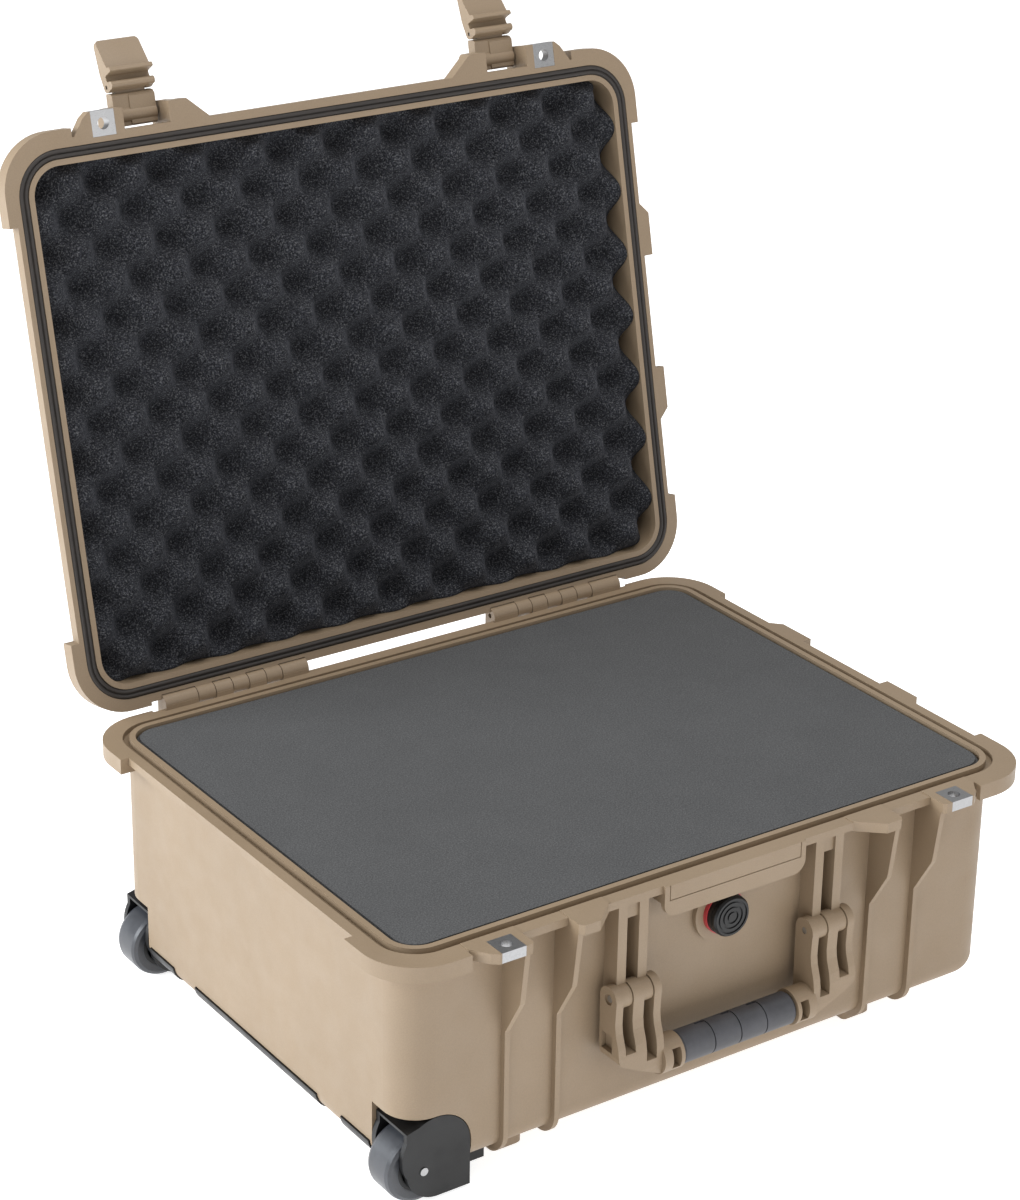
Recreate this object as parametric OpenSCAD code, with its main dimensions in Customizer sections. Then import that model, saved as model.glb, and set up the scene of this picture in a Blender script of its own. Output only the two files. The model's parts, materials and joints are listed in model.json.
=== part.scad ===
// Hard equipment case with a hinged lid, two draw latches, two swing handles, a pull-out
// trolley handle and two corner wheels. Lengths are in mm.
// x runs along the long side towards the trolley handle, y towards the hinges, z up.
// The origin is on the ground under the middle of the case.

/* [Case] */
// Inside length of the rim opening
open_l = 506; // [500:1:510]
// Inside width of the rim opening
open_w = 380; // [376:1:384]
// Height of the rim above the ground
rim_z = 196; // [190:1:200]
// Height of the floor's underside above the ground
floor_z = 20; // [19:0.5:21]
// Thickness of the side walls
wall_t = 5; // [4:0.5:5]
// Height of the lid above its sealing plane
lid_h = 50; // [46:1:56]
// Angle of the opened lid from closed, in degrees
lid_angle = 102.5; // [95:0.5:105]

/* [Latches] */
// Distance of each latch from the middle of the front
latch_x = 158; // [156:1:160]
// Tilt of the latch lever when released, in degrees
lever_tilt = 22; // [18:1:40]
// Radius of the padlock holes
lock_r = 4.5; // [3.5:0.25:5]

/* [Handles] */
// Distance of the front handle's arms from its middle
front_arm_x = 85; // [83:1:88]
// Distance of the end handle's arms from its middle
end_arm_x = 80; // [72:1:84]
// Radius of the rubber grips
grip_r = 12; // [11:0.5:13]
// Retracted trolley handle's distance beyond the end wall
pull_gap = 11; // [10:1:14]

/* [Wheels] */
// Wheel radius
wheel_r = 26; // [24:0.5:26]
// Wheel width
wheel_w = 27; // [22:1:27]

/* [Hidden] */
$fn = 96;
eps = 0.01;

// colours
tan_c = [0.66, 0.57, 0.46];
black_c = [0.06, 0.06, 0.065];
foam_c = [0.32, 0.32, 0.32];
dark_foam_c = [0.09, 0.09, 0.10];
steel_c = [0.72, 0.72, 0.73];
grip_c = [0.13, 0.14, 0.17];
red_c = [0.62, 0.10, 0.12];

// fits
run_gap = 0.05;     // radial gap of a pin in its hole
play = 0.5;         // gap between neighbouring moving faces

// case body
half_l = open_l / 2;
half_w = open_w / 2;
out_l = open_l + 2 * wall_t;        // outside of the walls
out_w = open_w + 2 * wall_t;
wall_x = out_l / 2;
wall_y = out_w / 2;
open_r = 20;                        // corner radius of the opening
bottom_r = 15;                      // radius of the bottom edges
floor_t = 4.5;
flange_o = 17.5;                    // flange beyond the opening at the ends
flange_y = half_w + 20;             // flange edge at the front and back
flange_x = half_l + flange_o;
flange_t = 7;
flange_r = 38;
land_drop = 1;                      // outer land below the inner ridge
ridge_w = 4.5;
groove_w = 5;
groove_d = 5;
bump_out = 6.5;                     // corner guards beyond the flange
bump_t = 13;
bump_back_y = 212.6;                // corner guards end short of the hinge axis at the back

// lid
lid_gap = 0.6;                      // lid plane above the base ridge
lid_z = rim_z + lid_gap;
lid_wall = 4.5;
lid_lip = 1.7;                      // lid opening is this much wider all round
seal_o = 6;                         // seal groove starts this far outside the opening
seal_w = 7.6;
seal_d = 5;
seal_out = 0.9;                     // seal stands out of the lid plane

// hinge
hinge_y = 213.4;
hinge_z = rim_z + 2.4;
hinge_r = 6.5;
hinge_pin_r = 2;
hinge_in = 86;                      // first knuckle face from the middle
base_knuckles = [[0, 23], [37, 52], [66, 81], [96, 124]];
lid_knuckles = [[23, 37], [52, 66], [81, 96]];
notch_y = 206.3;                    // flange edge behind the other half's knuckles

// latch columns on the front wall
col_in = latch_x - 23;
col_out = latch_x + 23;
fin_w = 4;
fin_y = 222;
slot_in = latch_x - 19;             // clear slot for the latch
slot_out = latch_x + 19;
ear_t = 8;
ear_y = 226;
lock_x = 193;
lock_y = 216.6;
plate_w = 19;
rib_out = 4.5;                      // column ribs beyond the wall

// latch geometry, measured from the arm pivot
arm_y = -218.5;
arm_z = rim_z + 21;
arm_barrel_r = 6;
arm_pin_r = 2;
arm_w = 34;
lever_u = 21;                       // lever pivot along the arm
lever_v = -2.5;
lever_r = 4;
lever_pin_r = 1.5;
lever_w = 35;
lever_l = 34.5;
lug_in = 12;                        // half-width of the arm's end knuckle

// handle geometry, measured from its pivot
piv_out = 15;                       // pivot beyond the front wall
end_piv_out = 13;                   // pivot beyond the end wall
piv_z = rim_z - 75;
knuckle_r = 8.5;
knuckle_w = 7.5;
handle_pin_r = 2.5;
mid_plate = 9;                      // thickness of the arm's middle plate
side_plate = 6;                     // thickness of the arm's two side plates
core_r = 6;
grip_drop = 54;                     // grip centre below the pivot
grip_y = -5;
collar_l = 16;                      // collars between the arms and the grip

// pressure valve
valve_z = 152.5;

// wheels
axle_x = -241.5;
axle_z = wheel_r;
axle_r = 3;
wheel_y = 176.5;
well_x = -204;                      // wheel well's inner face
well_y = 156;
well_z = 66;
well_r = 28;
hub_r = 17;

// trolley
tube_y = 75;
chan_w = 20;
chan_h = 15;
chan_t = 2;
chan_z = 11;
chan_x0 = -176;
chan_x1 = 238;
slide_gap = 0.35;
recess_x = wall_x - 13;             // finger recess in the end wall
recess_y = 62;
recess_z = 52;

// ---------- helpers ----------
module rrect(l, w, r) {
    union() {
        square([l - 2 * r, w], center = true);
        square([l, w - 2 * r], center = true);
        for (x = [-1, 1], y = [-1, 1]) translate([x * (l / 2 - r), y * (w / 2 - r)]) circle(r);
    }
}

// box with rounded upright corners, z0 to z1
module slab(l, w, r, z0, z1) {
    translate([0, 0, z0]) linear_extrude(z1 - z0) rrect(l, w, r);
}

// open-topped block with round bottom edges: rc upright corners, rb bottom edges
module tub(l, w, rc, rb, z0, z1) {
    union() {
        slab(l, w, rc, z0 + rb, z1);
        translate([-(l / 2 - rc), -(w / 2 - rb), z0]) cube([l - 2 * rc, w - 2 * rb, rb + 1]);
        translate([-(l / 2 - rb), -(w / 2 - rc), z0]) cube([l - 2 * rb, w - 2 * rc, rb + 1]);
        for (s = [-1, 1]) {
            translate([-(l / 2 - rc), s * (w / 2 - rb), z0 + rb]) rotate([0, 90, 0])
                cylinder(r = rb, h = l - 2 * rc);
            translate([s * (l / 2 - rb), -(w / 2 - rc), z0 + rb]) rotate([-90, 0, 0])
                cylinder(r = rb, h = w - 2 * rc);
        }
        for (x = [-1, 1], y = [-1, 1])
            translate([x * (l / 2 - rc), y * (w / 2 - rc), z0]) rotate_extrude() union() {
                square([rc - rb, 2 * rb]);
                intersection() {
                    translate([rc - rb, rb]) circle(rb);
                    square([rc, 2 * rb]);
                }
            }
    }
}

// extrudes a y-z outline along x, from x0 to x1
module along_x(x0, x1) {
    translate([x0, 0, 0]) rotate([90, 0, 90]) linear_extrude(x1 - x0) children();
}

// extrudes an x-z outline along y, from y0 to y1
module along_y(y0, y1) {
    translate([0, y1, 0]) rotate([90, 0, 0]) linear_extrude(y1 - y0) children();
}

module rod_x(x0, x1, y, z, r) {
    translate([x0, y, z]) rotate([0, 90, 0]) cylinder(r = r, h = x1 - x0);
}

module rod_y(x, y0, y1, z, r) {
    translate([x, y0, z]) rotate([-90, 0, 0]) cylinder(r = r, h = y1 - y0);
}

module box(x0, x1, y0, y1, z0, z1) {
    translate([x0, y0, z0]) cube([x1 - x0, y1 - y0, z1 - z0]);
}

module both_x() {
    children();
    mirror([1, 0, 0]) children();
}

module both_y() {
    children();
    mirror([0, 1, 0]) children();
}

module lid_open() {
    translate([0, hinge_y, hinge_z]) rotate([-lid_angle, 0, 0])
        translate([0, -hinge_y, -hinge_z]) children();
}

// ---------- outlines shared by the base and the lid ----------
module guard_plan() {
    intersection() {
        translate([0, (bump_back_y - flange_y - bump_out) / 2])
            rrect(2 * (flange_x + bump_out), flange_y + bump_out + bump_back_y, flange_r + 4);
        union() for (x = [-1, 1], y = [-1, 1])
            translate([x * 249, y * 185]) square([60, 64], center = true);
    }
}

module ear_plan() {
    polygon([[slot_out - 0.5, -200], [slot_out - 0.5, -(ear_y - 2)], [slot_out + 1.5, -ear_y],
        [204, -ear_y], [209, -(ear_y - 4)], [218, -flange_y + 1], [218, -200]]);
}

module tab_plan() {
    polygon([[slot_in, -200], [slot_in, -222], [slot_in - 2.5, -225.5], [124, -225.5],
        [105, -flange_y + 1], [105, -200]]);
}

module end_tab_plan() {
    for (s = [-1, 1]) scale([1, s])
        polygon([[260, 46], [278.5, 46], [278.5, 80], [flange_x - 0.5, 89], [260, 91]]);
}

module lock_slot() {
    translate([lock_x - plate_w / 2, -(ear_y + 1)]) square([plate_w, ear_y + 1 - 207.5]);
}

module well_shape() {
    union() {
        translate([-280, -5]) square([well_x - well_r + 280, well_z + 5]);
        translate([-280, -5]) square([well_x + 280, well_z - well_r + 5]);
        translate([well_x - well_r, well_z - well_r]) circle(well_r);
    }
}

// ---------- base ----------
module base_outside() {
    tub(out_l, out_w, open_r + wall_t, bottom_r, floor_z, rim_z - flange_t + 1);
    slab(2 * flange_x, 2 * flange_y, flange_r, rim_z - flange_t, rim_z - land_drop);
    slab(open_l + 2 * ridge_w, open_w + 2 * ridge_w, open_r + ridge_w, rim_z - flange_t, rim_z);
    difference() {
        translate([0, 0, rim_z - bump_t]) linear_extrude(bump_t - land_drop) guard_plan();
        for (x = [-1, 1], y = [-1, 1]) scale([x, y, 1])
            translate([218, flange_y - 12, rim_z - bump_t]) rotate([0, 50, 0]) cube([20, 30, 12], center = true);
    }
    translate([0, 0, rim_z - flange_t]) linear_extrude(flange_t - land_drop) end_tab_plan();
}

module corner_gussets() {
    for (x = [-1, 1], y = [-1, 1]) scale([x, y, 1])
        for (d = [0, 9, 18]) box(228 + d, 230 + d, wall_y - 10, wall_y + 12 - d / 3, rim_z - 18, rim_z - bump_t + 1);
}

// two full-height ribs that grow into fins at the top, with an ear and a tab; drawn for +x
module latch_column() {
    for (x0 = [col_in, col_out - fin_w]) {
        along_x(x0, x0 + fin_w)
            polygon([[-(wall_y - 2), floor_z + bottom_r], [-(wall_y + rib_out), floor_z + bottom_r],
                [-(wall_y + rib_out), 116], [-(fin_y - 6), 145], [-(fin_y - 5.2), 149],
                [-fin_y, rim_z - flange_t + 1], [-(wall_y - 2), rim_z - flange_t + 1]]);
        rod_x(x0, x0 + fin_w, -(wall_y - bottom_r), floor_z + bottom_r, bottom_r + rib_out);
    }
    translate([0, 0, rim_z - ear_t]) linear_extrude(ear_t - land_drop + 0.6) ear_plan();
    translate([0, 0, rim_z - ear_t]) linear_extrude(ear_t - land_drop + 0.6) tab_plan();
}

// ribs and knuckles that carry one handle; origin at the pivot, -y away from the wall
module handle_support(arm, depth) {
    top = rim_z - flange_t - piv_z + 1;
    for (x0 = [arm - play - mid_plate / 2 - knuckle_w, arm + play + mid_plate / 2]) {
        box(x0, x0 + knuckle_w, 0, depth + 2, -knuckle_r, top);
        along_x(x0, x0 + knuckle_w)
            polygon([[0, -knuckle_r], [depth + 2, -knuckle_r - 9], [depth + 2, 0], [0, 0]]);
        rod_x(x0, x0 + knuckle_w, 0, 0, knuckle_r);
    }
    box(arm - 1 - mid_plate / 2, arm + 1 + mid_plate / 2, 2, depth + 2, rim_z - 18 - piv_z, top);
}

module handle_support_holes(arm) {
    rod_x(arm - 30, arm + 30, 0, 0, handle_pin_r + run_gap);
}

module panel_outline(d) {
    union() {
        translate([-61 + d, 181]) square([122 - 2 * d, rim_z - land_drop - 181]);
        translate([-51, 171 + d]) square([102, 20]);
        for (x = [-51, 51]) translate([x, 181]) circle(10 - d);
    }
}

module name_panel() {
    along_y(-212.6, -208.6) panel_outline(0);
    box(-61, 61, -212.6, -200, rim_z - flange_t, rim_z - land_drop);
    for (x0 = [-61, 58]) box(x0, x0 + 3, -210, -(wall_y - 1), 181, rim_z - flange_t + 1);
}

module panel_seam() {
    box(-57, 57, -215, -212, 183.2, 184);
    for (x0 = [-57, 56.2]) box(x0, x0 + 0.8, -215, -212, 183.2, rim_z + 1);
}

module base_hinge() {
    for (k = base_knuckles) {
        a = hinge_in + k[0] + (k[0] > 0 ? 0.3 : 0);
        b = hinge_in + k[1] - (k[1] < 124 ? 0.3 : 0);
        rod_x(a, b, hinge_y, hinge_z, hinge_r);
        box(a, b, notch_y + 0.3, hinge_y + hinge_r, rim_z - flange_t, hinge_z);
    }
    for (x0 = [hinge_in + 8, hinge_in + 72, hinge_in + 108])
        along_x(x0, x0 + 4) polygon([[wall_y - 2, 130], [wall_y + 3, 130], [hinge_y + 2, rim_z - flange_t],
            [hinge_y + 2, rim_z - flange_t + 1], [wall_y - 2, rim_z - flange_t + 1]]);
}

module feet() {
    for (x = [-1, 1], y = [-1, 1]) translate([x * (latch_x - 1), y * 154, 0]) {
        translate([0, 0, 1.5]) linear_extrude(floor_z + 4) rrect(26, 32, 5);
        linear_extrude(3) rrect(23, 29, 3.5);
    }
    linear_extrude(floor_z + 2) rrect(84, 54, 8);
    for (y = [-1, 1]) translate([0, y * 118, 0]) linear_extrude(floor_z + 2) rrect(220, 12, 5);
}

module base_shell() {
    color(tan_c) difference() {
        union() {
            base_outside();
            corner_gussets();
            both_x() latch_column();
            both_x() translate([0, -(wall_y + piv_out), piv_z]) handle_support(front_arm_x, piv_out);
            for (s = [0, 1]) mirror([0, s, 0]) translate([wall_x + end_piv_out, 0, piv_z])
                rotate([0, 0, 90]) handle_support(end_arm_x, end_piv_out);
            name_panel();
            rod_y(0, -(wall_y + 4), -(wall_y - 1), valve_z, 23);
            both_x() base_hinge();
            feet();
            for (y = [-1, 1]) box(recess_x - 6, wall_x + 1.5, y * (recess_y + 7) - 2, y * (recess_y + 7) + 2,
                floor_z + bottom_r, 60);
        }
        // inside, kept clear of the wheel wells and of the finger recess
        difference() {
            tub(open_l, open_w, open_r, bottom_r - 4, floor_z + floor_t, rim_z + 20);
            both_y() box(-300, well_x + wall_t, -300, -(well_y - wall_t), -1, well_z + wall_t);
            box(recess_x - wall_t, 300, -(recess_y + wall_t), recess_y + wall_t, -1, recess_z + wall_t);
        }
        difference() {
            slab(open_l + 2 * (ridge_w + groove_w), open_w + 2 * (ridge_w + groove_w),
                open_r + ridge_w + groove_w, rim_z - groove_d, rim_z + 5);
            slab(open_l + 2 * ridge_w, open_w + 2 * ridge_w, open_r + ridge_w, rim_z - groove_d - 1, rim_z + 6);
        }
        panel_seam();
        both_x() translate([0, 0, rim_z - ear_t - 1]) linear_extrude(ear_t + 2) lock_slot();
        both_y() along_y(-300, -well_y) well_shape();
        for (s = strip_spans) along_y(s[0] - 0.2, s[1] + 0.2) strip_band(0.05);
        box(recess_x, 300, -recess_y, recess_y, floor_z + floor_t + 3, recess_z);
        // clearance for the lid's knuckles
        both_x() for (k = lid_knuckles)
            box(hinge_in + k[0] - 0.3, hinge_in + k[1] + 0.3, notch_y, 240, 160, rim_z + 20);
        both_x() rod_x(hinge_in - 1, hinge_in + 122, hinge_y, hinge_z, hinge_pin_r + run_gap);
        both_x() translate([0, -(wall_y + piv_out), piv_z]) handle_support_holes(front_arm_x);
        for (s = [0, 1]) mirror([0, s, 0]) translate([wall_x + end_piv_out, 0, piv_z])
            rotate([0, 0, 90]) handle_support_holes(end_arm_x);
        rod_y(0, -(wall_y + 5), -(half_w - 1), valve_z, 9 + run_gap);
        // screw holes under the floor
        for (x = bracket_x, y = [-1, 1], d = [-1, 1])
            translate([x, y * tube_y + d * bracket_d, floor_z - 1]) cylinder(r = 2, h = 4);
    }
}

// ---------- foam set ----------
module foam_block(z0, z1, l, w, r) {
    difference() {
        slab(l, w, r, z0, z1);
        both_y() box(-300, well_x + wall_t + 1, -300, -(well_y - wall_t - 1), -1, well_z + wall_t + 1);
        box(recess_x - wall_t - 1, 300, -(recess_y + wall_t + 1), recess_y + wall_t + 1, -1,
            recess_z + wall_t + 1);
    }
}

foam_0 = floor_z + floor_t + 0.2;
foam_1 = foam_0 + 11.5;
foam_2 = foam_1 + 78;

module floor_pad_foam() {
    color(foam_c) foam_block(foam_0, foam_1, open_l - 24, open_w - 24, 12);
}

module lower_foam() {
    color(foam_c) foam_block(foam_1 + 0.2, foam_2, open_l - 2, open_w - 2, open_r - 1);
}

module upper_foam() {
    color(foam_c) difference() {
        foam_block(foam_2 + 0.2, rim_z - 1.2, open_l - 2, open_w - 2, open_r - 1);
        box(-18, 18, -half_w, -(half_w - 11), 134, 171);
    }
}

// ---------- pressure valve ----------
module valve_body() {
    color(black_c) union() {
        rod_y(0, -(wall_y + 11), -(wall_y + 7), valve_z, 15.5);
        rod_y(0, -(wall_y + 8), -(half_w - 6), valve_z, 9);
    }
}

module valve_seal() {
    color(red_c) difference() {
        rod_y(0, -(wall_y + 7), -(wall_y + 4), valve_z, 16.4);
        rod_y(0, -(wall_y + 8), -(wall_y + 3), valve_z, 9 + run_gap);
    }
}

module valve_cap() {
    color(black_c) translate([0, -(wall_y + 11), valve_z]) rotate([90, 0, 0]) difference() {
        rotate_extrude() polygon([[0, 0], [15.2, 0], [15.2, 3.2], [14, 4.8], [0, 4.8]]);
        for (r = [3.4, 7.2, 11])
            translate([0, 0, 4]) difference() {
                cylinder(r = r + 1.5, h = 2);
                translate([0, 0, -1]) cylinder(r = r, h = 4);
            }
    }
}

module valve_nut() {
    color(black_c) difference() {
        translate([0, -half_w, valve_z]) rotate([-90, 0, 0]) cylinder(r = 15, h = 6, $fn = 6);
        rod_y(0, -(half_w + 1), -(half_w - 7), valve_z, 9 + run_gap);
    }
}

// ---------- padlock plates ----------
module lock_plate(z0, z1) {
    difference() {
        box(lock_x - plate_w / 2 + 0.05, lock_x + plate_w / 2 - 0.05, -ear_y, -207.6, z0, z1);
        translate([lock_x, -lock_y, z0 - 1]) cylinder(r = lock_r, h = z1 - z0 + 2);
    }
}

module base_lock_plates() {
    color(steel_c) both_x() lock_plate(rim_z - ear_t + 0.2, rim_z - 0.2);
}

module lid_lock_plates() {
    color(steel_c) lid_open() both_x() lock_plate(lid_z + 0.2, lid_z + ear_t);
}

module hinge_pins() {
    color(steel_c) both_x() rod_x(hinge_in + 2, hinge_in + 120, hinge_y, hinge_z, hinge_pin_r);
}

// ---------- lid ----------
module lid_outside() {
    translate([0, 0, 2 * lid_z + lid_h]) mirror([0, 0, 1])
        tub(out_l, out_w, open_r + wall_t, bottom_r + 1, lid_z, lid_z + lid_h);
    slab(2 * flange_x, 2 * flange_y, flange_r, lid_z, lid_z + flange_t);
    translate([0, 0, lid_z]) linear_extrude(bump_t) guard_plan();
    translate([0, 0, lid_z]) linear_extrude(flange_t) end_tab_plan();
}

// one of the two lugs that hold a latch arm's pin
module lid_lug(x0, x1) {
    along_x(x0, x1) union() {
        translate([-(ear_y - 0.5), lid_z]) square([30, arm_z - lid_z]);
        translate([arm_y, arm_z]) circle(ear_y - 0.5 + arm_y);
        polygon([[arm_y, arm_z - 5], [arm_y, arm_z + ear_y - 0.5 + arm_y], [-205, arm_z + 9], [-194, arm_z + 14],
            [-194, arm_z - 5]]);
    }
}

module lid_front_bosses() {
    both_x() {
        lid_lug(slot_in - 8, slot_in);
        lid_lug(slot_out - 0.5, slot_out + 6.5);
        translate([0, 0, lid_z]) linear_extrude(ear_t + 3) tab_plan();
        translate([0, 0, lid_z]) linear_extrude(ear_t) ear_plan();
    }
}

module lid_ribs() {
    for (x = [-150, 0, 150]) translate([x, 0, lid_z + lid_h - 2]) linear_extrude(4.5) rrect(110, 300, 14);
    both_x() box(col_in, col_out, -(wall_y + 2.5), -(wall_y - 2), lid_z + 5, lid_z + lid_h - 17);
    both_x() box(hinge_in + 30, hinge_in + 94, wall_y - 2, wall_y + 2.5, lid_z + 5, lid_z + lid_h - 17);
}

module lid_hinge() {
    for (k = lid_knuckles) {
        a = hinge_in + k[0] + 0.3;
        b = hinge_in + k[1] - 0.3;
        rod_x(a, b, hinge_y, hinge_z, hinge_r);
        box(a, b, 200, hinge_y + hinge_r, hinge_z, lid_z + flange_t);
    }
}

module lid_shell() {
    color(tan_c) lid_open() difference() {
        union() {
            difference() {
                union() {
                    lid_outside();
                    lid_ribs();
                    lid_front_bosses();
                }
                both_x() for (k = base_knuckles)
                    box(hinge_in + k[0] - 0.3, hinge_in + k[1] + 0.3, notch_y, 240, lid_z - 5, lid_z + 30);
            }
            both_x() lid_hinge();
        }
        translate([0, 0, 2 * lid_z + lid_h - lid_wall]) mirror([0, 0, 1])
            tub(open_l + 2 * lid_lip, open_w + 2 * lid_lip, open_r + lid_lip, 11, lid_z,
                lid_z + lid_h - lid_wall + 5);
        difference() {
            slab(open_l + 2 * (seal_o + seal_w), open_w + 2 * (seal_o + seal_w), open_r + seal_o + seal_w,
                lid_z - 5, lid_z + seal_d);
            slab(open_l + 2 * seal_o, open_w + 2 * seal_o, open_r + seal_o, lid_z - 6, lid_z + seal_d + 1);
        }
        both_x() translate([0, 0, lid_z - 1]) linear_extrude(ear_t + 1.1) lock_slot();
        both_x() translate([lock_x, -lock_y, lid_z]) cylinder(r = lock_r + 2, h = 50);
        both_x() rod_x(hinge_in - 1, hinge_in + 122, hinge_y, hinge_z, hinge_pin_r + run_gap);
        both_x() rod_x(slot_in - 6, slot_out + 6, arm_y, arm_z, arm_pin_r + run_gap);
    }
}

module lid_seal() {
    color(black_c) lid_open() difference() {
        union() {
            slab(open_l + 2 * (seal_o + seal_w) - 0.2, open_w + 2 * (seal_o + seal_w) - 0.2,
                open_r + seal_o + seal_w - 0.1, lid_z, lid_z + seal_d - 0.1);
            slab(open_l + 2 * (seal_o + seal_w) - 2, open_w + 2 * (seal_o + seal_w) - 2,
                open_r + seal_o + seal_w - 1, lid_z - seal_out, lid_z + 1);
        }
        slab(open_l + 2 * seal_o + 0.2, open_w + 2 * seal_o + 0.2, open_r + seal_o + 0.1, lid_z - 3,
            lid_z + seal_d + 1);
        slab(open_l + 2 * seal_o + 2, open_w + 2 * seal_o + 2, open_r + seal_o + 1, lid_z - 3, lid_z);
    }
}

module lid_foam() {
    grow = 2 * lid_lip - 0.8;
    color(dark_foam_c) lid_open() translate([0, 0, 2 * lid_z + lid_h - lid_wall]) mirror([0, 0, 1])
        tub(open_l + grow, open_w + grow, open_r + grow / 2, 11.2, lid_z + 0.2, lid_z + lid_h - lid_wall - 0.6);
}

module latch_arm_pins() {
    color(steel_c) lid_open() both_x() rod_x(slot_in - 5, slot_out + 5, arm_y, arm_z, arm_pin_r);
}

// ---------- latches, drawn fastened, from the arm pivot down ----------
module at_arm(s) {
    lid_open() translate([s * latch_x, arm_y, arm_z]) rotate([-90, 0, 0]) children();
}

module at_lever(s) {
    at_arm(s) translate([0, lever_v, -lever_u]) rotate([-lever_tilt, 0, 0]) children();
}

module latch_arm() {
    w = arm_w / 2;
    color(tan_c) difference() {
        union() {
            rod_x(-w, w, 0, 0, arm_barrel_r);
            along_x(-w, w) polygon([[-6, 0], [-5, 5], [-2, 8], [3.4, 8], [3.4, -14.6], [2.4, -15.6], [-1, -16.2],
                [-5.6, -16.2], [-6, -12]]);
            along_x(-4, w) polygon([[3, 7.4], [4.6, 6.8], [4.6, -13.4], [3.6, -14.4], [3, -14.4]]);
            along_x(-lug_in, lug_in) polygon([[-5.6, -14], [-6.5, -lever_u], [-1, -lever_u], [0, -14]]);
            rod_x(-lug_in, lug_in, lever_v, -lever_u, lever_r);
        }
        rod_x(-20, 20, 0, 0, arm_pin_r + run_gap);
        rod_x(-20, 20, lever_v, -lever_u, lever_pin_r + run_gap);
    }
}

// hook plate with a finger tab; its hook passes under the base's flange when fastened
module latch_lever() {
    w = lever_w / 2;
    tip_r = 4;
    color(tan_c) difference() {
        union() {
            rod_x(-w, w, 0, 0, lever_r);
            rod_x(-w, w, 7.1, 1, 2.8);
            intersection() {
                along_x(-w, w) polygon([[0, 4], [2, 4.2], [6, 3.6], [8, 1], [8, -1.6], [4.5, -2.4], [3.5, -3.4],
                    [3.5, -6.8], [5, -7.4], [12.9, -7.4], [13.5, -8], [13.2, -10.4], [9, -12], [3.8, -lever_l],
                    [2.6, -lever_l - 0.6], [0.6, -lever_l], [-1.5, -24], [-4, -12], [-4, 0]]);
                along_y(-20, 20) union() {
                    translate([-w, -lever_l + tip_r]) square([2 * w, 50]);
                    translate([-w + tip_r, -lever_l - 1]) square([2 * (w - tip_r), 50]);
                    for (x = [-1, 1]) translate([x * (w - tip_r), -lever_l + tip_r - 0.5]) circle(tip_r);
                }
            }
        }
        // space behind the finger tab and for the arm's end knuckle
        along_x(-w + 2, w - 2) polygon([[-6, -4], [3, -13.5], [1.2, -24], [-6, -24]]);
        rod_x(-lug_in - 0.4, lug_in + 0.4, 0, 0, lever_r + 0.3);
        along_x(-lug_in - 0.4, lug_in + 0.4) polygon([[-8, -3], [-8, 12], [3.9, 12], [3.9, 0], [0, 0]]);
        rod_x(-20, 20, 0, 0, lever_pin_r + run_gap);
    }
}

module lever_pin() {
    color(steel_c) rod_x(-arm_w / 2 + 0.5, arm_w / 2 - 0.5, lever_v, -lever_u, lever_pin_r);
}

module latch_arm_left() { at_arm(-1) latch_arm(); }
module latch_arm_right() { at_arm(1) latch_arm(); }
module lever_pin_left() { at_arm(-1) lever_pin(); }
module lever_pin_right() { at_arm(1) lever_pin(); }
module latch_lever_left() { at_lever(-1) latch_lever(); }
module latch_lever_right() { at_lever(1) latch_lever(); }

// ---------- swing handles, drawn from the pivot, -y away from the wall ----------
module arm_side() {
    union() {
        circle(9.5);
        polygon([[-9.4, 1], [-8.9, -8], [-8.6, -17], [-9.6, -24], [-13, -34], [-14.2, -41], [-14.4, -55],
            [-13, -65], [-9, -70], [5, -70], [8.6, -62], [9.4, 0]]);
    }
}

// inner and outer faces of a handle's arm
function arm_in(arm) = arm - mid_plate / 2 - 2 * play - knuckle_w - side_plate;
function arm_out(arm) = arm + mid_plate / 2 + 2 * play + knuckle_w + side_plate;

module handle_frame(arm) {
    in_x = arm_in(arm);
    out_x = arm_out(arm);
    gap = knuckle_w + 2 * play;
    color(tan_c) difference() {
        union() {
            both_x() intersection() {
                along_x(in_x, out_x) arm_side();
                along_y(-40, 40) polygon([[in_x, 20], [in_x, -64], [in_x + 4, -62.5], [out_x - 4, -48],
                    [out_x - 1, -45], [out_x, -41], [out_x, 20]]);
            }
            both_x() rod_x(in_x - collar_l, in_x + 1, grip_y, -grip_drop, grip_r + 1.3);
            rod_x(-in_x, in_x, grip_y, -grip_drop, core_r);
        }
        both_x() for (x0 = [in_x + side_plate, arm + mid_plate / 2]) {
            box(x0, x0 + gap, -40, 40, -27, 30);
            box(x0, x0 + gap, -40, 3, x0 < arm ? -49 : -39, -26);
        }
        // side pocket and the pocket beside the grip's flange
        both_x() box(out_x - 4, out_x + 2, -5.5, 6.5, -40, -27);
        both_x() box(in_x - 13, in_x - 6, -40, grip_y + 1, -grip_drop - 7, -grip_drop + 8);
        both_x() rod_x(in_x - 10, out_x + 10, 0, 0, handle_pin_r + run_gap);
        both_x() rod_x(out_x - 1.5, out_x + 2, 0, 0, 4.2);
    }
}

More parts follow.
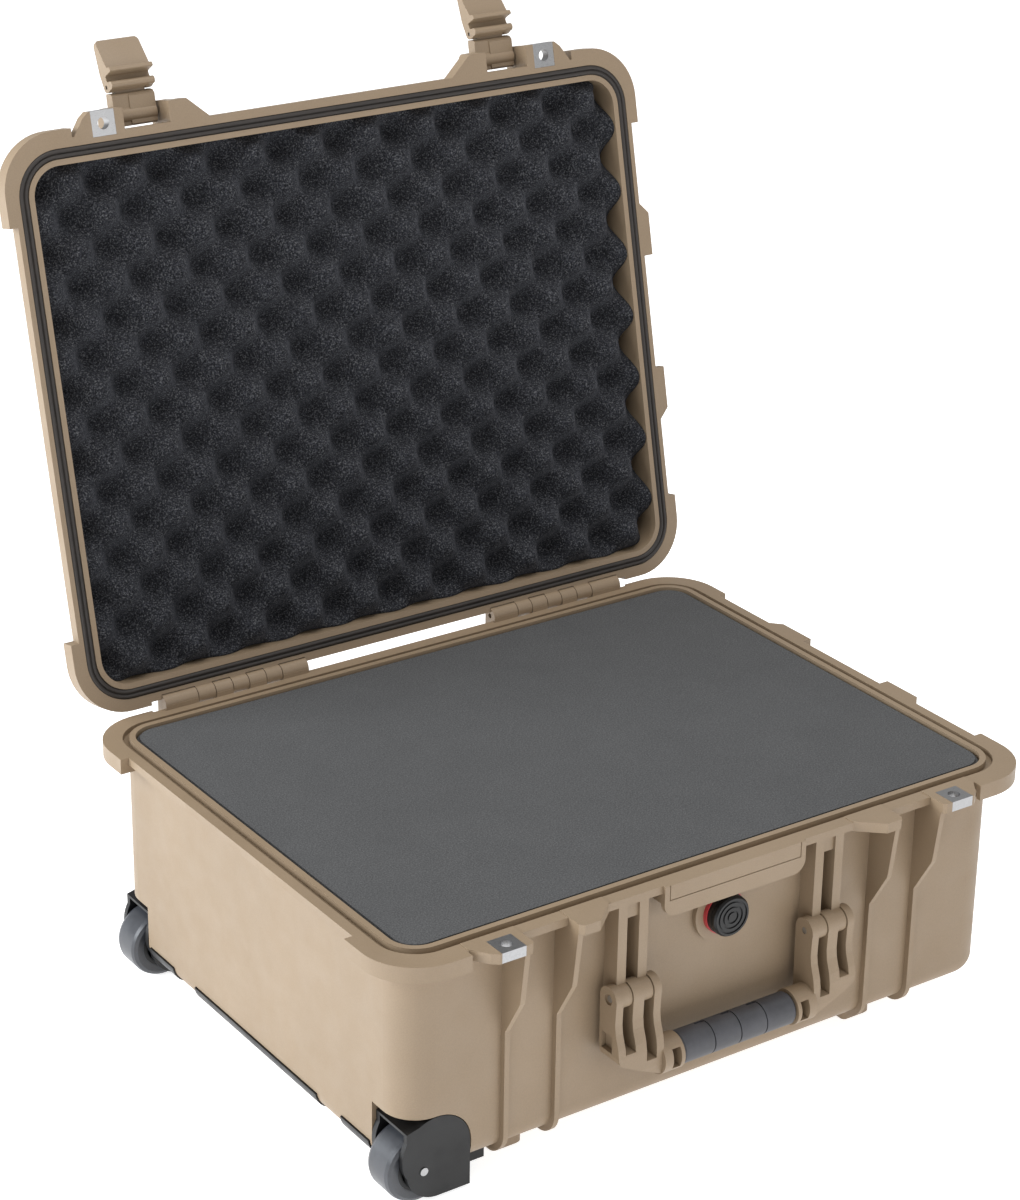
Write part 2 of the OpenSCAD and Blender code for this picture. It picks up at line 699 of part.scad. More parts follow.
module handle_grip(arm) {
    h = arm_in(arm) - collar_l - 0.3;
    groove_at = [for (k = [-1, 0, 1]) h + k * h * 0.46];
    color(grip_c) translate([-h, grip_y, -grip_drop]) rotate([0, 90, 0]) difference() {
        rotate_extrude() polygon([[core_r + run_gap, 0], [grip_r - 1.5, 0], [grip_r, 2], [grip_r, 2 * h - 2],
            [grip_r - 1.5, 2 * h], [core_r + run_gap, 2 * h]]);
        for (z = groove_at) translate([0, 0, z - 0.5]) difference() {
            cylinder(r = grip_r + 2, h = 1);
            translate([0, 0, -1]) cylinder(r = grip_r - 0.9, h = 4);
        }
        // clip slots on the upper side
        for (z = groove_at) translate([-grip_r - 2, 1.5, z - 8]) cube([3.6, 2.6, 7]);
    }
}

module handle_pins(arm) {
    color(steel_c) both_x() rod_x(arm_in(arm) + 0.5, arm_out(arm) - 1, 0, 0, handle_pin_r);
}

module at_front_handle() { translate([0, -(wall_y + piv_out), piv_z]) children(); }
module at_end_handle() { translate([wall_x + end_piv_out, 0, piv_z]) rotate([0, 0, 90]) children(); }

module front_handle_frame() { at_front_handle() handle_frame(front_arm_x); }
module front_handle_grip() { at_front_handle() handle_grip(front_arm_x); }
module front_handle_pins() { at_front_handle() handle_pins(front_arm_x); }
module end_handle_frame() { at_end_handle() handle_frame(end_arm_x); }
module end_handle_grip() { at_end_handle() handle_grip(end_arm_x); }
module end_handle_pins() { at_end_handle() handle_pins(end_arm_x); }

// ---------- trolley handle ----------
bracket_x = [-130, 40, 205];
bracket_d = 15;
tube_w = chan_w - 2 * chan_t - 2 * slide_gap;
tube_h = chan_h - 2 * chan_t - 2 * slide_gap;

module trolley_channels() {
    color(black_c) both_y() difference() {
        box(chan_x0, chan_x1, -tube_y - chan_w / 2, -tube_y + chan_w / 2, chan_z - chan_h / 2, chan_z + chan_h / 2);
        box(chan_x0 + 4, chan_x1 + 1, -tube_y - chan_w / 2 + chan_t, -tube_y + chan_w / 2 - chan_t,
            chan_z - chan_h / 2 + chan_t, chan_z + chan_h / 2 - chan_t);
    }
}

module trolley_brackets() {
    color(black_c) both_y() for (x = bracket_x) difference() {
        box(x - 12, x + 12, -tube_y - 20, -tube_y + 20, chan_z - chan_h / 2 - 1.8, floor_z);
        box(x - 13, x + 13, -tube_y - chan_w / 2 - 0.1, -tube_y + chan_w / 2 + 0.1, chan_z - chan_h / 2 - 0.1,
            floor_z + 1);
        for (d = [-1, 1]) translate([x, -tube_y + d * bracket_d, -1]) {
            cylinder(r = 2, h = 30);
            cylinder(r = 3.8, h = 6);
        }
    }
}

module trolley_screws() {
    color(steel_c) both_y() for (x = bracket_x, d = [-1, 1]) translate([x, -tube_y + d * bracket_d, 0]) {
        translate([0, 0, 3]) cylinder(r = 1.95, h = floor_z - 0.5);
        translate([0, 0, 2.6]) difference() {
            cylinder(r = 3.6, h = 2.4);
            translate([0, 0, -1]) cylinder(r = 1.6, h = 2.2, $fn = 6);
        }
    }
}

module trolley_tubes() {
    color(steel_c) both_y() difference() {
        box(chan_x0 + 5, wall_x + pull_gap - 4, -tube_y - tube_w / 2, -tube_y + tube_w / 2, chan_z - tube_h / 2,
            chan_z + tube_h / 2);
        box(chan_x0 + 4, chan_x1 + 5, -tube_y - tube_w / 2 + 1.5, -tube_y + tube_w / 2 - 1.5,
            chan_z - tube_h / 2 + 1.5, chan_z + tube_h / 2 - 1.5);
    }
}

module trolley_grip() {
    x0 = wall_x + 1.5;
    x1 = wall_x + pull_gap + 18;
    color(black_c) difference() {
        union() {
            both_y() box(x0, x1 - 4, -tube_y - 13, -tube_y + 13, 3.5, 44);
            both_y() rod_y(x1 - 6, -tube_y - 13, -tube_y + 13, 38, 6);
            both_y() rod_y(x1 - 6, -tube_y - 13, -tube_y + 13, 9.5, 6);
            both_y() box(x1 - 8, x1, -tube_y - 13, -tube_y + 13, 9.5, 38);
            rod_y(x1 - 9, -tube_y, tube_y, 35, 9);
            rod_y(x1 - 9, -tube_y, tube_y, 29, 9);
            box(x1 - 18, x1, -tube_y, tube_y, 29, 35);
        }
        both_y() box(x0 - 5, wall_x + pull_gap - 3.9, -tube_y - tube_w / 2 - 0.05, -tube_y + tube_w / 2 + 0.05,
            chan_z - tube_h / 2 - 0.05, chan_z + tube_h / 2 + 0.05);
        box(x1 - 14.5, x1 - 3.5, -16.5, 16.5, 36, 50);
    }
}

module trolley_button() {
    x1 = wall_x + pull_gap + 18;
    color(red_c) union() {
        box(x1 - 14, x1 - 4, -16, 16, 39.6, 46);
        box(x1 - 12, x1 - 6, -12, 12, 46 - 1, 47);
    }
}

// ---------- wheels ----------
module housing_outline() {
    union() {
        translate([-230, 28]) circle(25);
        translate([-230, 3]) square([well_x - 0.5 + 230, 36]);
        translate([well_x - 0.5 - 27, 38]) circle(27);
        polygon([[-255, 28], [-255, 59], [-231.5, 65], [-231.5, 28]]);
    }
}

module wheel_housing() {
    y0 = -(wall_y - 0.5);
    y1 = -(well_y + 0.5);
    in_y0 = -(wheel_y + wheel_w / 2 + 0.6);
    in_y1 = -(wheel_y - wheel_w / 2 - 2);
    color(black_c) difference() {
        union() {
            along_y(y0, y1) housing_outline();
            box(well_x - 8, -182, -178, -160, 7, floor_z - 0.1);
        }
        box(-300, -236, in_y0, in_y1, -5, 57);
        along_y(in_y0, in_y1) union() {
            translate([axle_x, 28]) circle(29);
            translate([axle_x, -5]) square([29, 33]);
        }
        rod_y(axle_x, y0 - 5, y1 + 5, axle_z, axle_r + run_gap);
        rod_y(-222, y1 - 3, y1 + 1, 50, 2.6);
        rod_y(-246, y1 - 3, y1 + 1, 50, 2.6);
    }
}

module axle_front() {
    rod_y(axle_x, -(wall_y + 0.2), -(well_y + 1), axle_z, axle_r);
}

module wheel_hub() {
    y0 = -(wheel_y + wheel_w / 2 - 1);
    y1 = -(wheel_y - wheel_w / 2 + 1);
    color(black_c) difference() {
        union() {
            difference() {
                rod_y(axle_x, y0, y1, axle_z, hub_r);
                rod_y(axle_x, y0 - 1, y0 + 6, axle_z, hub_r - 3);
                rod_y(axle_x, y1 - 6, y1 + 1, axle_z, hub_r - 3);
            }
            rod_y(axle_x, y0, y1, axle_z, axle_r + 3.5);
            for (a = [0:60:179]) translate([axle_x, 0, axle_z]) rotate([0, a, 0])
                box(-hub_r + 1, hub_r - 1, y0 + 2, y1 - 2, -1.2, 1.2);
        }
        rod_y(axle_x, y0 - 2, y1 + 2, axle_z, axle_r + run_gap);
    }
}

module tyre() {
    y0 = -(wheel_y + wheel_w / 2);
    color(black_c) translate([axle_x, y0, axle_z]) rotate([-90, 0, 0]) rotate_extrude()
        polygon([[hub_r + 0.02, 0.8], [wheel_r - 3.5, 0], [wheel_r - 1, 1.4], [wheel_r, 4], [wheel_r, wheel_w - 4],
            [wheel_r - 1, wheel_w - 1.4], [wheel_r - 3.5, wheel_w], [hub_r + 0.02, wheel_w - 0.8]]);
}

module housing_screws() {
    color(steel_c) both_y() for (x = [-222, -246]) rod_y(x, -(well_y + 2.8), -(well_y + 0.7), 50, 2.5);
}

module wheel_housing_front() { wheel_housing(); }
module wheel_housing_rear() { mirror([0, 1, 0]) wheel_housing(); }
module axles() { color(steel_c) both_y() axle_front(); }
module wheel_hub_front() { wheel_hub(); }
module wheel_hub_rear() { mirror([0, 1, 0]) wheel_hub(); }
module tyre_front() { tyre(); }
module tyre_rear() { mirror([0, 1, 0]) tyre(); }

// ---------- rub strips along the bottom of the wheel end ----------
strip_spans = [[-153, -117], [-85, 85], [117, 153]];
strip_screw_x = -(wall_x - bottom_r) - 5;

strip_in_r = bottom_r - 2.7;
strip_out_r = bottom_r + 1.3;

// the strips' section: a band round the bottom edge, wider by grow at both faces
module strip_band(grow) {
    translate([-(wall_x - bottom_r), floor_z + bottom_r]) intersection() {
        difference() {
            circle(strip_out_r + grow);
            circle(strip_in_r - grow);
        }
        polygon([[grow, grow], [-30, -3 + 20 * grow], [-30, -30], [-3 + 20 * grow, -30]]);
    }
}

module edge_strips() {
    color(black_c) difference() {
        for (s = strip_spans) along_y(s[0], s[1]) strip_band(0);
        for (s = strip_spans, y = [s[0] + 10, s[1] - 10]) translate([strip_screw_x, y, 0])
            cylinder(r = 3, h = floor_z + 1);
    }
}

module strip_screws() {
    color(steel_c) for (s = strip_spans, y = [s[0] + 10, s[1] - 10])
        translate([strip_screw_x, y, floor_z - 0.2]) cylinder(r = 2.9, h = 1.1);
}

base_shell();
floor_pad_foam();
lower_foam();
upper_foam();
valve_body();
valve_seal();
valve_cap();
valve_nut();
base_lock_plates();
hinge_pins();
lid_shell();
lid_seal();
lid_foam();
lid_lock_plates();
latch_arm_pins();
latch_arm_left();
latch_arm_right();
lever_pin_left();
lever_pin_right();
latch_lever_left();
latch_lever_right();
front_handle_frame();
front_handle_grip();
front_handle_pins();
end_handle_frame();
end_handle_grip();
end_handle_pins();
trolley_channels();
trolley_brackets();
trolley_screws();
trolley_tubes();
trolley_grip();
trolley_button();
wheel_housing_front();
wheel_housing_rear();
housing_screws();
axles();
wheel_hub_front();
wheel_hub_rear();
tyre_front();
tyre_rear();
edge_strips();
strip_screws();
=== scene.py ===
"""Hard equipment case: soft pieces, materials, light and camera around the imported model."""
import json
import math

import bmesh
import bpy
from mathutils import Matrix, Quaternion, Vector, noise


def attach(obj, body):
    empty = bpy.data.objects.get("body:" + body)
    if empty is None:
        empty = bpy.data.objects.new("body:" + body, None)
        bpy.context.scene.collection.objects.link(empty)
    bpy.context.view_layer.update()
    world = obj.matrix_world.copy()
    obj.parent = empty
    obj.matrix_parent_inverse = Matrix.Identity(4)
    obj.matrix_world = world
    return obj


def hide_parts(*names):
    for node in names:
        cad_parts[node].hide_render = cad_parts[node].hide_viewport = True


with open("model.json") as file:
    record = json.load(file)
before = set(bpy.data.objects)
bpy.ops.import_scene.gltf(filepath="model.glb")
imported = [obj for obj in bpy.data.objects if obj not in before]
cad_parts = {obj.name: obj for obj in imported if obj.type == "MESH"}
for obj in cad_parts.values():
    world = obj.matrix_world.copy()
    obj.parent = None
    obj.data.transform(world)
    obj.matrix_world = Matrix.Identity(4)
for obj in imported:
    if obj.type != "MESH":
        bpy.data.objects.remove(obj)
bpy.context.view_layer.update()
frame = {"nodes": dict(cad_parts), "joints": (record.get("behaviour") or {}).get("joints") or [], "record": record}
MM = 0.001

# ---------- camera ----------
CAMERA_PLACE = Vector((-1.1942, -1.6520, 1.2096))
CAMERA_LOOK = Vector((0.52305, 0.75086, -0.40328))
CAMERA_ROLL = math.radians(0.89)
CAMERA_LENS = 109.8


def make_camera():
    data = bpy.data.cameras.new("camera")
    data.lens = CAMERA_LENS
    data.sensor_width = 36
    data.sensor_fit = "HORIZONTAL"
    data.clip_start, data.clip_end = 0.05, 50
    camera = bpy.data.objects.new("camera", data)
    camera.location = CAMERA_PLACE
    camera.rotation_mode = "QUATERNION"
    level = CAMERA_LOOK.to_track_quat("-Z", "Y")
    camera.rotation_quaternion = level @ Quaternion((0, 0, 1), CAMERA_ROLL)
    bpy.context.scene.collection.objects.link(camera)
    bpy.context.scene.camera = camera


# ---------- material building ----------
class Shader:
    """A Principled material with short calls for the nodes that feed it. Sizes are in metres."""

    def __init__(self, name, colour, roughness, **sockets):
        self.material = bpy.data.materials.new(name)
        self.material.use_nodes = True
        self.tree = self.material.node_tree
        self.surface = self.tree.nodes["Principled BSDF"]
        self.place = self.tree.nodes.new("ShaderNodeTexCoord").outputs["Object"]
        self.height = None
        self.surface.inputs["Base Color"].default_value = (*colour, 1)
        self.surface.inputs["Roughness"].default_value = roughness
        for socket, value in sockets.items():
            self.surface.inputs[socket.replace("_", " ")].default_value = value
        self.material.diffuse_color = (*colour, 1)

    def node(self, kind, **values):
        made = self.tree.nodes.new("ShaderNode" + kind)
        for key, value in values.items():
            setattr(made, key, value)
        return made

    def link(self, source, target):
        self.tree.links.new(source, target)

    def noise(self, size, detail=2.0, rough=0.5, stretch=(1, 1, 1)):
        """Noise whose features are about size metres, as a value from 0 to 1."""
        mapping = self.node("Mapping")
        mapping.inputs["Scale"].default_value = stretch
        texture = self.node("TexNoise")
        texture.inputs["Scale"].default_value = 1 / size
        texture.inputs["Detail"].default_value = detail
        texture.inputs["Roughness"].default_value = rough
        self.link(self.place, mapping.inputs["Vector"])
        self.link(mapping.outputs["Vector"], texture.inputs["Vector"])
        return texture.outputs["Fac"]

    def ramp(self, source, stops):
        """Colour ramp; stops are (position, colour) pairs."""
        ramp = self.node("ValToRGB")
        elements = ramp.color_ramp.elements
        while len(elements) < len(stops):
            elements.new(0.5)
        for element, (position, colour) in zip(elements, stops):
            element.position = position
            element.color = (*colour, 1)
        self.link(source, ramp.inputs["Fac"])
        return ramp.outputs["Color"]

    def grey(self, source, low, high, start=0.3, end=0.7):
        return self.ramp(source, [(start, (low,) * 3), (end, (high,) * 3)])

    def mix(self, a, b, factor, blend="MIX"):
        """Mixes two colours; factor is a number or a node output."""
        mixer = self.node("Mix", data_type="RGBA", blend_type=blend)
        for socket, value in ((mixer.inputs[6], a), (mixer.inputs[7], b), (mixer.inputs[0], factor)):
            if isinstance(value, bpy.types.NodeSocket):
                self.link(value, socket)
            else:
                socket.default_value = (*value, 1) if isinstance(value, tuple) else value
        return mixer.outputs[2]

    def colour(self, source):
        self.link(source, self.surface.inputs["Base Color"])

    def roughness(self, source, low, high):
        self.link(self.grey(source, low, high), self.surface.inputs["Roughness"])

    def bump(self, source, depth, strength=1.0):
        """Adds a layer of bump of the given depth in metres, on top of the layers before it."""
        layer = self.node("Bump")
        layer.inputs["Distance"].default_value = depth
        layer.inputs["Strength"].default_value = strength
        self.link(source, layer.inputs["Height"])
        if self.height is not None:
            self.link(self.height, layer.inputs["Normal"])
        self.height = layer.outputs["Normal"]
        self.link(self.height, self.surface.inputs["Normal"])


def shade(colour, factor):
    return tuple(min(1.0, c * factor) for c in colour)


# ---------- materials ----------
TAN = (0.270, 0.196, 0.125)
FOAM_GREY = (0.082, 0.082, 0.0825)
DARK_FOAM = (0.0125, 0.013, 0.0155)
BLACK = (0.004, 0.004, 0.0043)
RUBBER_BLACK = (0.020, 0.021, 0.024)
SEAL_BROWN = (0.024, 0.019, 0.016)
GRIP_GREY = (0.055, 0.055, 0.062)
STEEL = (0.38, 0.38, 0.385)
RED = (0.48, 0.045, 0.05)


def tan_plastic():
    s = Shader("tan_plastic", TAN, 0.5)
    flow = s.noise(0.11, detail=3)
    base = s.ramp(flow, [(0.3, shade(TAN, 0.955)), (0.5, TAN), (0.7, shade(TAN, 1.045))])
    scuffs = s.noise(0.03, detail=6, rough=0.7, stretch=(1, 1, 0.35))
    base = s.mix(base, shade(TAN, 1.16), s.grey(scuffs, 0.0, 0.22, 0.56, 0.78))
    grain = s.noise(0.0009, detail=1)
    base = s.mix(base, s.grey(grain, 0.86, 1.0), 0.55, blend="MULTIPLY")
    s.colour(base)
    s.roughness(s.noise(0.02, detail=4), 0.42, 0.58)
    s.bump(s.noise(0.06, detail=2), 0.0004, 0.5)
    s.bump(grain, 0.00008, 0.5)
    return s.material


def pad_foam():
    s = Shader("grey_foam", FOAM_GREY, 1.0, Sheen_Weight=0.03, Sheen_Roughness=0.6, Specular_IOR_Level=0.1)
    pores = s.noise(0.0011, detail=2, rough=0.7)
    base = s.ramp(pores, [(0.30, shade(FOAM_GREY, 0.62)), (0.5, FOAM_GREY), (0.72, shade(FOAM_GREY, 1.5))])
    patches = s.noise(0.035, detail=3)
    s.colour(s.mix(base, s.grey(patches, 0.90, 1.0), 0.7, blend="MULTIPLY"))
    s.bump(s.noise(0.02, detail=3), 0.0006, 0.4)
    s.bump(pores, 0.0004, 0.6)
    return s.material


def crate_foam():
    s = Shader("dark_foam", DARK_FOAM, 1.0, Sheen_Weight=0.08, Sheen_Roughness=0.5, Specular_IOR_Level=0.15)
    s.surface.inputs["Sheen Tint"].default_value = (0.55, 0.58, 0.68, 1)
    fibre = s.noise(0.0016, detail=3, rough=0.75)
    glints = s.noise(0.0012, detail=1, rough=0.6)
    base = s.ramp(fibre, [(0.35, shade(DARK_FOAM, 0.5)), (0.5, shade(DARK_FOAM, 1.3)),
                          (0.66, shade(DARK_FOAM, 3.4))])
    s.colour(s.mix(base, (0.15, 0.152, 0.16), s.grey(glints, 0.0, 0.8, 0.52, 0.76)))
    s.bump(fibre, 0.0007, 0.8)
    return s.material


def black_plastic():
    s = Shader("black_plastic", BLACK, 0.42, Specular_IOR_Level=0.4)
    base = s.ramp(s.noise(0.03, detail=4), [(0.35, shade(BLACK, 0.8)), (0.65, shade(BLACK, 1.5))])
    s.colour(base)
    s.roughness(s.noise(0.012, detail=4), 0.34, 0.52)
    s.bump(s.noise(0.0008, detail=1), 0.00006, 0.5)
    return s.material


def soft_rubber(name, colour, low, high):
    s = Shader(name, colour, (low + high) / 2)
    dust = s.noise(0.02, detail=6, rough=0.7)
    s.colour(s.ramp(dust, [(0.35, shade(colour, 0.85)), (0.7, shade(colour, 1.35))]))
    s.roughness(dust, low, high)
    s.bump(s.noise(0.0006, detail=1), 0.00005, 0.6)
    return s.material


def steel(name, colour, low, high, stretch):
    s = Shader(name, colour, (low + high) / 2, Metallic=1.0)
    brush = s.noise(0.0015, detail=3, rough=0.6, stretch=stretch)
    s.colour(s.ramp(brush, [(0.3, shade(colour, 0.88)), (0.7, shade(colour, 1.08))]))
    s.roughness(brush, low, high)
    s.bump(brush, 0.00002, 0.6)
    return s.material


def red_plastic():
    s = Shader("red_plastic", RED, 0.4)
    s.colour(s.ramp(s.noise(0.01, detail=3), [(0.35, shade(RED, 0.85)), (0.65, shade(RED, 1.1))]))
    s.bump(s.noise(0.0008, detail=1), 0.00005, 0.4)
    return s.material


def make_materials():
    return {
        "shell": tan_plastic(),
        "foam": pad_foam(),
        "lid_foam": crate_foam(),
        "black_plastic": black_plastic(),
        "red_trim": red_plastic(),
        "seal_rubber": soft_rubber("seal_rubber", SEAL_BROWN, 0.50, 0.66),
        "tyre_rubber": soft_rubber("tyre_rubber", shade(RUBBER_BLACK, 2.2), 0.28, 0.44),
        "grip_rubber": soft_rubber("grip_rubber", GRIP_GREY, 0.42, 0.6),
        "stainless": steel("stainless", STEEL, 0.26, 0.46, (1, 14, 1)),
        "tube_metal": steel("dark_anodised", (0.16, 0.16, 0.17), 0.3, 0.45, (0.08, 1, 1)),
    }


# ---------- CAD pieces: material, rounded edges and smooth shading ----------
SLOT_OF = {part["node"]: part["material_slot"] for part in frame["record"]["subparts"]}
EDGE_MM = {"base_shell": 0.7, "lid_shell": 0.5, "wheel_housing_front": 0.8, "wheel_housing_rear": 0.8,
           "front_handle_frame": 0.9, "end_handle_frame": 0.9, "trolley_grip": 0.9}
PLAIN_EDGE_MM = 0.35


def finish_node(name, materials):
    piece = frame["nodes"][name]
    piece.data.materials.clear()
    piece.data.materials.append(materials[SLOT_OF[name]])
    for face in piece.data.polygons:
        face.use_smooth = True
    rounded = piece.modifiers.new("rounded", "BEVEL")
    rounded.limit_method = "ANGLE"
    rounded.angle_limit = math.radians(38)
    rounded.width = EDGE_MM.get(name, PLAIN_EDGE_MM) * MM
    rounded.segments = 2
    rounded.use_clamp_overlap = False
    rounded.harden_normals = True
    rounded.miter_outer = "MITER_ARC"


# ---------- the lid's own frame ----------
LID_JOINT = next(j for j in frame["joints"] if j["name"] == "lid_hinge")
LID_HINGE = Vector(LID_JOINT["pos_m"])
LID_SWING = math.radians(LID_JOINT["range_deg"][1])


def opened_lid():
    """Turns the closed lid's places into the opened lid's."""
    turn = Matrix.Rotation(-LID_SWING, 4, "X")
    return Matrix.Translation(LID_HINGE) @ turn @ Matrix.Translation(-LID_HINGE)


def closed_box(node):
    """Lowest and highest corner of a lid node with the lid closed."""
    back = opened_lid().inverted()
    points = [back @ v.co for v in frame["nodes"][node].data.vertices]
    low = Vector([min(p[i] for p in points) for i in range(3)])
    high = Vector([max(p[i] for p in points) for i in range(3)])
    return low, high


# ---------- mesh helpers ----------
def add_piece(name, bm, body, slot, materials, stands_for):
    bmesh.ops.recalc_face_normals(bm, faces=bm.faces)
    mesh = bpy.data.meshes.new(name)
    bm.to_mesh(mesh)
    bm.free()
    for face in mesh.polygons:
        face.use_smooth = True
    mesh.materials.append(materials[slot])
    piece = bpy.data.objects.new(name, mesh)
    bpy.context.scene.collection.objects.link(piece)
    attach(piece, body)
    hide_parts(stands_for)
    return piece


def rounded_rectangle(half_x, half_y, radius, arc_steps=14):
    """Outline points, anticlockwise."""
    points = []
    corners = ((1, 1, 0), (-1, 1, 90), (-1, -1, 180), (1, -1, 270))
    for sx, sy, start in corners:
        for k in range(arc_steps + 1):
            a = math.radians(start + 90 * k / arc_steps)
            points.append((sx * (half_x - radius) + radius * math.cos(a),
                           sy * (half_y - radius) + radius * math.sin(a)))
    return points


# ---------- foam ----------
FOAM_EDGE = 2.2 * MM
FLAT_NORMAL = 0.999         # a face whose normal has a part larger than this is one of the flat ones
CRATE_PITCH = 50.5 * MM
CRATE_STEP = 2.6 * MM
CRATE_DEPTH = 26 * MM
CRATE_PHASE = Vector((5 * MM, -127 * MM))
CRATE_CORNER = 21.3 * MM
CRATE_BACK = 11.2 * MM      # slope round the back edge
CRATE_UNEVEN = 0.03
CRATE_UNEVEN_PER_M = 22
CRATE_NARROWING = 1.15      # above 1 the pits are narrower than the hills


def foam_layer(node, name, materials):
    """A foam block with the CAD solid's outline and soft edges."""
    bm = bmesh.new()
    bm.from_mesh(frame["nodes"][node].data)
    bmesh.ops.remove_doubles(bm, verts=bm.verts, dist=1e-6)
    bmesh.ops.dissolve_limit(bm, angle_limit=math.radians(1), verts=bm.verts, edges=bm.edges)
    sharp = [e for e in bm.edges if len(e.link_faces) == 2 and e.calc_face_angle(0) > math.radians(40)]
    bmesh.ops.bevel(bm, geom=sharp, offset=FOAM_EDGE, segments=3, affect="EDGES", clamp_overlap=True)
    bmesh.ops.triangulate(bm, faces=bm.faces)
    piece = add_piece(name, bm, "base", "foam", materials, node)
    for face in piece.data.polygons:
        face.use_smooth = max(abs(c) for c in face.normal) < FLAT_NORMAL


def crate_height(x, y):
    """Depth below the peaks at a point of the egg-crate face: hills and pits in a diagonal grid."""
    turn = 2 * math.pi / CRATE_PITCH
    wave = math.cos(turn * (x - CRATE_PHASE.x)) * math.cos(turn * (y - CRATE_PHASE.y))
    uneven = noise.noise(Vector((x * CRATE_UNEVEN_PER_M, y * CRATE_UNEVEN_PER_M, 0.3)))
    pit = min(1.0, max(0.0, 0.5 + 0.5 * wave + CRATE_UNEVEN * uneven))
    return CRATE_DEPTH * pit ** CRATE_NARROWING


def onto_rounded_corner(x, y, half_x, half_y):
    """Pulls a point of the square grid inside the rounded corners."""
    dx = abs(x) - (half_x - CRATE_CORNER)
    dy = abs(y) - (half_y - CRATE_CORNER)
    if dx <= 0 or dy <= 0:
        return x, y
    reach = math.hypot(dx, dy)
    limit = max(dx, dy)
    dx, dy = dx * limit / reach, dy * limit / reach
    return (math.copysign(half_x - CRATE_CORNER + dx, x), math.copysign(half_y - CRATE_CORNER + dy, y))


def grid_border(columns, rows):
    """Numbers of the grid's border points, in order round the grid."""
    wide = columns + 1
    front = list(range(wide))
    right = [j * wide + columns for j in range(1, rows + 1)]
    rear = [rows * wide + i for i in range(columns - 1, -1, -1)]
    left = [j * wide for j in range(rows - 1, 0, -1)]
    return front + right + rear + left


def egg_crate(materials):
    """The lid's foam: a wavy face, upright sides and a back that slopes in at its edges."""
    low, high = closed_box("lid_foam")
    half_x, half_y = high.x, (high.y - low.y) / 2
    columns = round(2 * half_x / CRATE_STEP)
    rows = round(2 * half_y / CRATE_STEP)
    place = opened_lid()
    bm = bmesh.new()
    face, side, back = [], [], []
    inset_x, inset_y = 1 - CRATE_BACK / half_x, 1 - CRATE_BACK / half_y
    for j in range(rows + 1):
        for i in range(columns + 1):
            flat_x, flat_y = half_x * (2 * i / columns - 1), half_y * (2 * j / rows - 1)
            x, y = onto_rounded_corner(flat_x, flat_y, half_x, half_y)
            depth = crate_height(x, y)
            face.append(bm.verts.new(place @ Vector((x, y, low.z + depth))))
            side.append(bm.verts.new(place @ Vector((x, y, high.z - CRATE_BACK))))
            back.append(bm.verts.new(place @ Vector((x * inset_x, y * inset_y, high.z))))
    wide = columns + 1
    for j in range(rows):
        for i in range(columns):
            a = j * wide + i
            bm.faces.new((face[a], face[a + 1], face[a + wide + 1], face[a + wide]))
    border = grid_border(columns, rows)
    for a, b in zip(border, border[1:] + border[:1]):
        bm.faces.new((face[b], face[a], side[a], side[b]))
        bm.faces.new((side[b], side[a], back[a], back[b]))
    bm.faces.new([back[a] for a in border])
    bmesh.ops.delete(bm, geom=[v for v in bm.verts if not v.link_faces], context="VERTS")
    piece = add_piece("egg_crate_foam", bm, "lid", "lid_foam", materials, "lid_foam")


# ---------- lid seal ----------
SEAL_WIDTH = 7.4 * MM
SEAL_CORNER = 33 * MM
RIDGE_HEIGHT = 1.6 * MM
RIDGE_PLACE = 0.235 * SEAL_WIDTH     # centre of each ridge from the strip's middle
RIDGE_HALF_WIDTH = 0.92 * RIDGE_PLACE
RIDGE_STEPS = 6


def seal_profile(height):
    """Offsets from the middle and heights of a soft strip with two round ridges."""
    shoulder = height - RIDGE_HEIGHT
    points = [(-SEAL_WIDTH / 2, 0.0), (-SEAL_WIDTH / 2, shoulder)]
    for centre in (-RIDGE_PLACE, RIDGE_PLACE):
        for k in range(RIDGE_STEPS + 1):
            a = math.pi * (1 - k / RIDGE_STEPS)
            points.append((centre + RIDGE_HALF_WIDTH * math.cos(a), shoulder + RIDGE_HEIGHT * math.sin(a)))
    points += [(SEAL_WIDTH / 2, shoulder), (SEAL_WIDTH / 2, 0.0)]
    return points


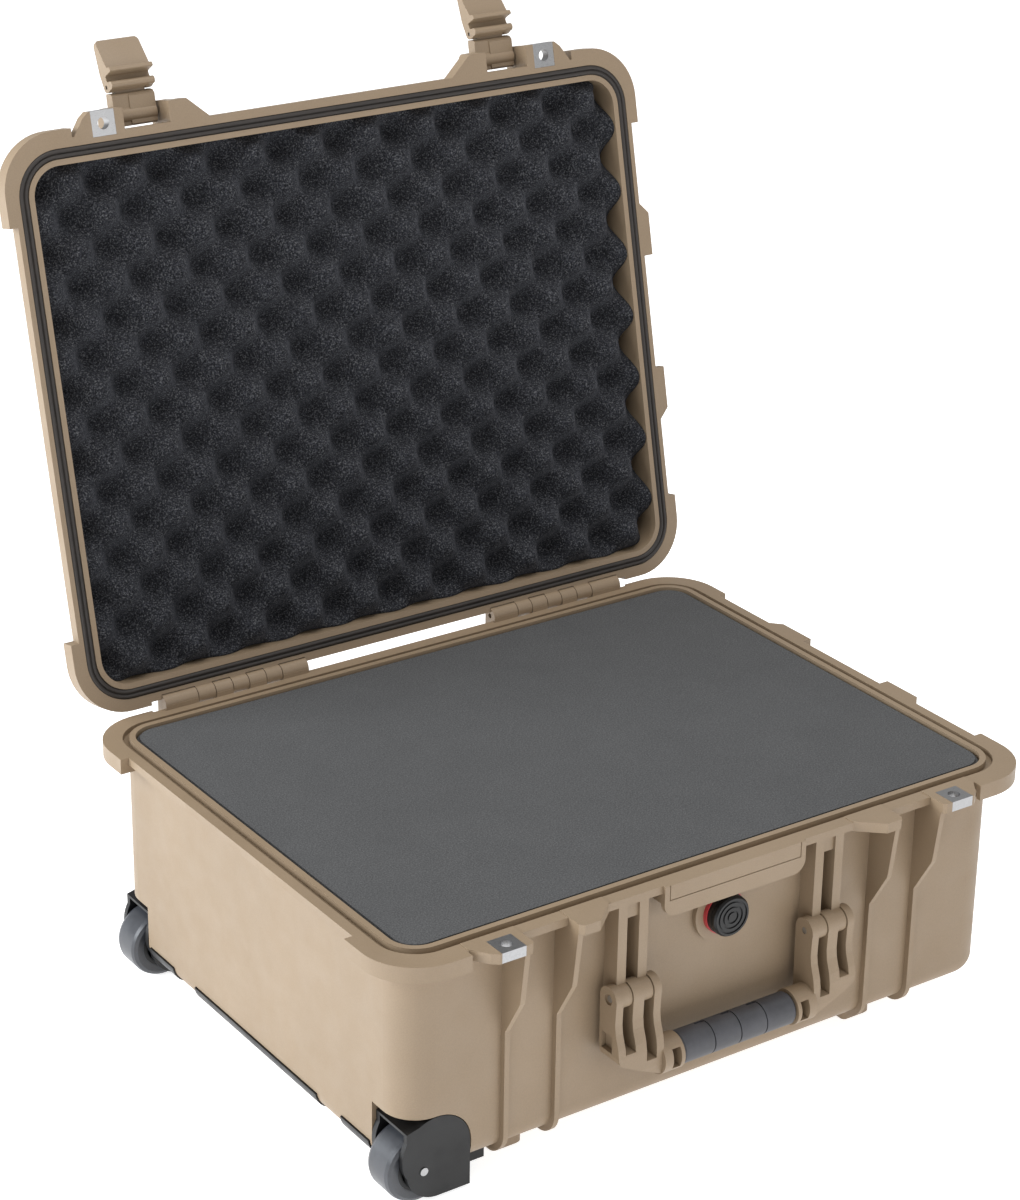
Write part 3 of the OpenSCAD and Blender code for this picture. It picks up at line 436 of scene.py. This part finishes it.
def lid_seal(materials):
    low, high = closed_box("lid_seal")
    outer_x, outer_y = high.x, (high.y - low.y) / 2
    profile = seal_profile(high.z - low.z)
    place = opened_lid()
    bm = bmesh.new()
    rings = []
    for offset, height in profile:
        inset = SEAL_WIDTH / 2 - offset
        outline = rounded_rectangle(outer_x - inset, outer_y - inset, SEAL_CORNER - inset)
        rings.append([bm.verts.new(place @ Vector((x, y, high.z - height))) for x, y in outline])
    count = len(rings[0])
    for a, b in zip(rings, rings[1:] + rings[:1]):
        for k in range(count):
            m = (k + 1) % count
            bm.faces.new((a[k], a[m], b[m], b[k]))
    add_piece("double_ridge_seal", bm, "lid", "seal_rubber", materials, "lid_seal")


# ---------- stage ----------
FLOOR_SIZE = 30
LIT_PLACE = (0, 0, 0.25)


def make_stage():
    floor_material = Shader("floor", (0.80, 0.80, 0.80), 0.9, Emission_Strength=0.8).material
    bpy.ops.mesh.primitive_plane_add(size=FLOOR_SIZE)
    floor = bpy.context.object
    floor.name = "floor"
    floor.data.materials.append(floor_material)


def area_light(name, place, size, power, colour=(1, 1, 1)):
    """A soft light aimed at the case; sizes in metres, power in watts."""
    data = bpy.data.lights.new(name, "AREA")
    data.shape = "RECTANGLE"
    data.size, data.size_y = size
    data.energy = power
    data.color = colour
    light = bpy.data.objects.new(name, data)
    light.location = place
    light.rotation_mode = "QUATERNION"
    light.rotation_quaternion = (Vector(LIT_PLACE) - Vector(place)).to_track_quat("-Z", "Y")
    bpy.context.scene.collection.objects.link(light)


def make_lights():
    world = bpy.data.worlds.new("studio")
    world.use_nodes = True
    world.node_tree.nodes["Background"].inputs["Color"].default_value = (1, 1, 1, 1)
    world.node_tree.nodes["Background"].inputs["Strength"].default_value = 0.45
    bpy.context.scene.world = world
    area_light("key", (-2.6, 0.9, 1.3), (1.8, 1.8), 100, (0.90, 0.95, 1.0))
    area_light("top", (0.0, -0.2, 3.0), (2.2, 2.2), 45)
    area_light("front", (0.6, -3.0, 1.2), (1.8, 1.2), 17)


# ---------- everything ----------
make_camera()
MATERIALS = make_materials()
for node_name in frame["nodes"]:
    finish_node(node_name, MATERIALS)
foam_layer("upper_foam", "top_foam_pad", MATERIALS)
foam_layer("lower_foam", "lower_foam_pad", MATERIALS)
foam_layer("floor_pad_foam", "bottom_foam_pad", MATERIALS)
egg_crate(MATERIALS)
lid_seal(MATERIALS)
make_stage()
make_lights()
bpy.context.scene.view_settings.view_transform = "Standard"
